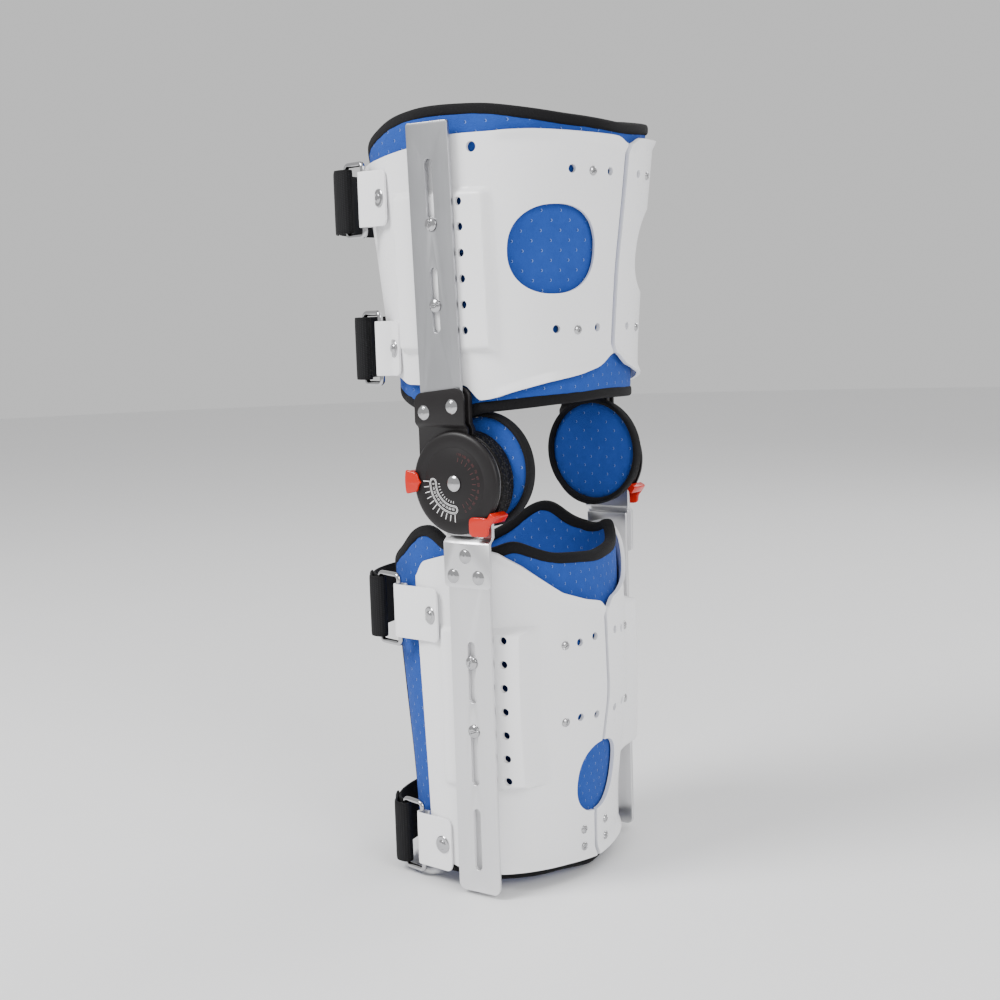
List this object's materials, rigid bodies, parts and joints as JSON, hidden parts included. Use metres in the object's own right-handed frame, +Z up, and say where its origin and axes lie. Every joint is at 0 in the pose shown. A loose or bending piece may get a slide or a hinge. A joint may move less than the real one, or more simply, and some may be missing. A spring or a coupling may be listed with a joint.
{
  "type": "knee immobilizer",
  "caption": "Hinged knee brace with padded blue cuffs, white plastic half shells, slotted side bars, dials with red stops and front straps",
  "frame": {"origin": "middle of the knee on the hinge axis, midway between the two hinges", "axes": "+X near side, along the hinge axis; -Y front of the leg, where the cuffs are open; +Z up the leg"},
  "size_m": [0.1976, 0.2234, 0.5356],
  "materials": {
    "blue_fabric": "loop-faced blue padding",
    "black_fabric": "black webbing and binding",
    "white_plastic": "smooth white plastic",
    "black_plastic": "satin black plastic",
    "red_plastic": "smooth red plastic",
    "aluminium": "satin bars and plates",
    "steel": "bright screws, pins and wire rings"
  },
  "bodies": {
    "thigh": {"thigh_liner": "blue_fabric", "thigh_upper_strap": "black_fabric", "thigh_lower_strap": "black_fabric", "thigh_shell_near": "white_plastic", "thigh_shell_far": "white_plastic", "thigh_bar_near": "aluminium", "thigh_bar_far": "aluminium", "hinge_bracket_near": "black_plastic", "hinge_bracket_far": "black_plastic", "hinge_back_near": "black_plastic", "hinge_back_far": "black_plastic", "dial_near": "black_plastic", "dial_far": "black_plastic", "hinge_pin_near": "steel", "hinge_pin_far": "steel", "hook_ring_near": "black_fabric", "hook_ring_far": "black_fabric", "condyle_pad_near": "blue_fabric", "condyle_pad_far": "blue_fabric", "thigh_upper_tab_near": "white_plastic", "thigh_upper_tab_far": "white_plastic", "thigh_lower_tab_near": "white_plastic", "thigh_lower_tab_far": "white_plastic", "thigh_upper_ring_near": "steel", "thigh_upper_ring_far": "steel", "thigh_lower_ring_near": "steel", "thigh_lower_ring_far": "steel", "thigh_bar_screw_near_0": "steel", "thigh_bar_screw_near_1": "steel", "thigh_bar_screw_far_0": "steel", "thigh_bar_screw_far_1": "steel"},
    "calf": {"calf_liner": "blue_fabric", "calf_upper_strap": "black_fabric", "calf_lower_strap": "black_fabric", "calf_shell_near": "white_plastic", "calf_shell_far": "white_plastic", "calf_bar_near": "aluminium", "calf_bar_far": "aluminium", "hinge_plate_near": "aluminium", "hinge_plate_far": "aluminium", "calf_upper_tab_near": "white_plastic", "calf_upper_tab_far": "white_plastic", "calf_lower_tab_near": "white_plastic", "calf_lower_tab_far": "white_plastic", "calf_upper_ring_near": "steel", "calf_upper_ring_far": "steel", "calf_lower_ring_near": "steel", "calf_lower_ring_far": "steel", "calf_bar_screw_near_0": "steel", "calf_bar_screw_near_1": "steel", "calf_bar_screw_far_0": "steel", "calf_bar_screw_far_1": "steel"},
    "extension_stop_near": {"extension_stop_near": "red_plastic"},
    "extension_stop_far": {"extension_stop_far": "red_plastic"},
    "flexion_stop_near": {"flexion_stop_near": "red_plastic"},
    "flexion_stop_far": {"flexion_stop_far": "red_plastic"}
  },
  "joints": [
    {"name": "knee_hinge", "type": "hinge", "parent": "thigh", "child": "calf", "pos_m": [0, 0, 0], "axis": [1, 0, 0], "range_deg": [0, 75]},
    {"name": "flexion_limit_near", "type": "hinge", "parent": "thigh", "child": "flexion_stop_near", "pos_m": [0, 0, 0], "axis": [1, 0, 0], "range_deg": [0, 75]},
    {"name": "extension_limit_near", "type": "hinge", "parent": "thigh", "child": "extension_stop_near", "pos_m": [0, 0, 0], "axis": [1, 0, 0], "range_deg": [0, 45]},
    {"name": "flexion_limit_far", "type": "hinge", "parent": "thigh", "child": "flexion_stop_far", "pos_m": [0, 0, 0], "axis": [1, 0, 0], "range_deg": [0, 75]},
    {"name": "extension_limit_far", "type": "hinge", "parent": "thigh", "child": "extension_stop_far", "pos_m": [0, 0, 0], "axis": [1, 0, 0], "range_deg": [0, 45]}
  ],
  "couplings": [
    {"joint": "flexion_limit_near", "follows": "knee_hinge", "ratio": 1},
    {"joint": "flexion_limit_far", "follows": "knee_hinge", "ratio": 1}
  ]
}
